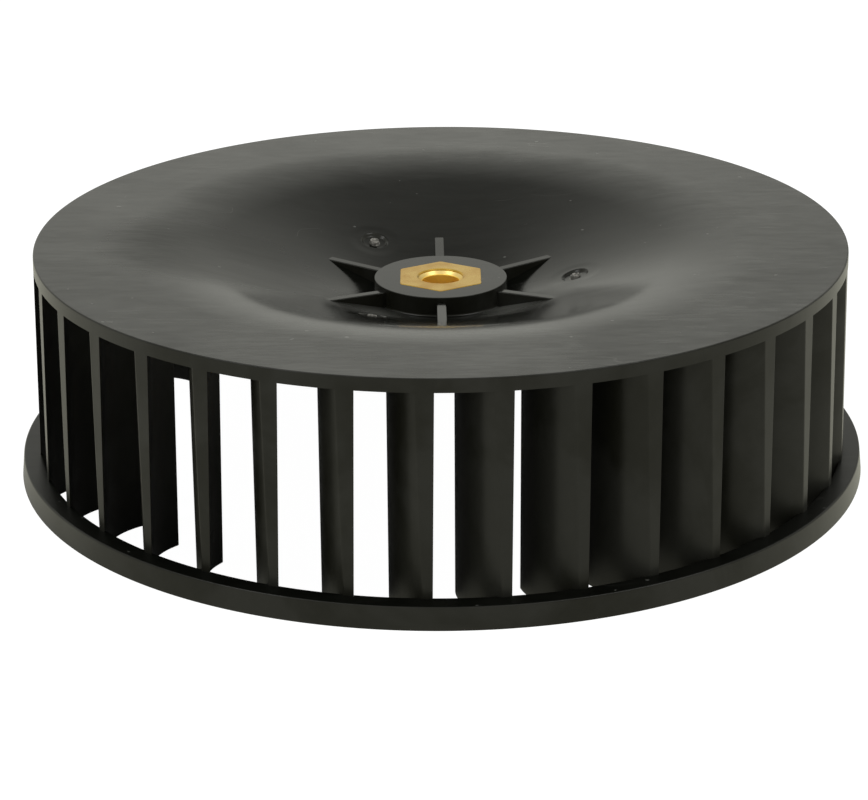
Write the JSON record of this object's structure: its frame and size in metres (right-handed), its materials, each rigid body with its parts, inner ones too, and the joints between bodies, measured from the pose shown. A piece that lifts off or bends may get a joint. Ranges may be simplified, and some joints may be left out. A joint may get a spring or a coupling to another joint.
{
  "type": "fan impeller",
  "caption": "Centrifugal fan wheel with curved blades, moulded in black plastic, with a dished backplate, an intake ring and a brass hexagon hub insert.",
  "frame": {"origin": "on the wheel's axis, in the plane of the intake ring's lower face, on which the wheel rests", "axes": "+Z along the axis, from the intake ring to the dished backplate; +X to the right and -Y towards the viewer in the picture"},
  "size_m": [0.2, 0.2, 0.0542],
  "materials": {
    "moulded_plastic": "black satin moulded plastic with faint wipe marks",
    "brass": "turned brass hexagon bar, bright"
  },
  "bodies": {
    "root": {"impeller_wheel": "moulded_plastic", "hub_insert": "brass"}
  },
  "joints": []
}
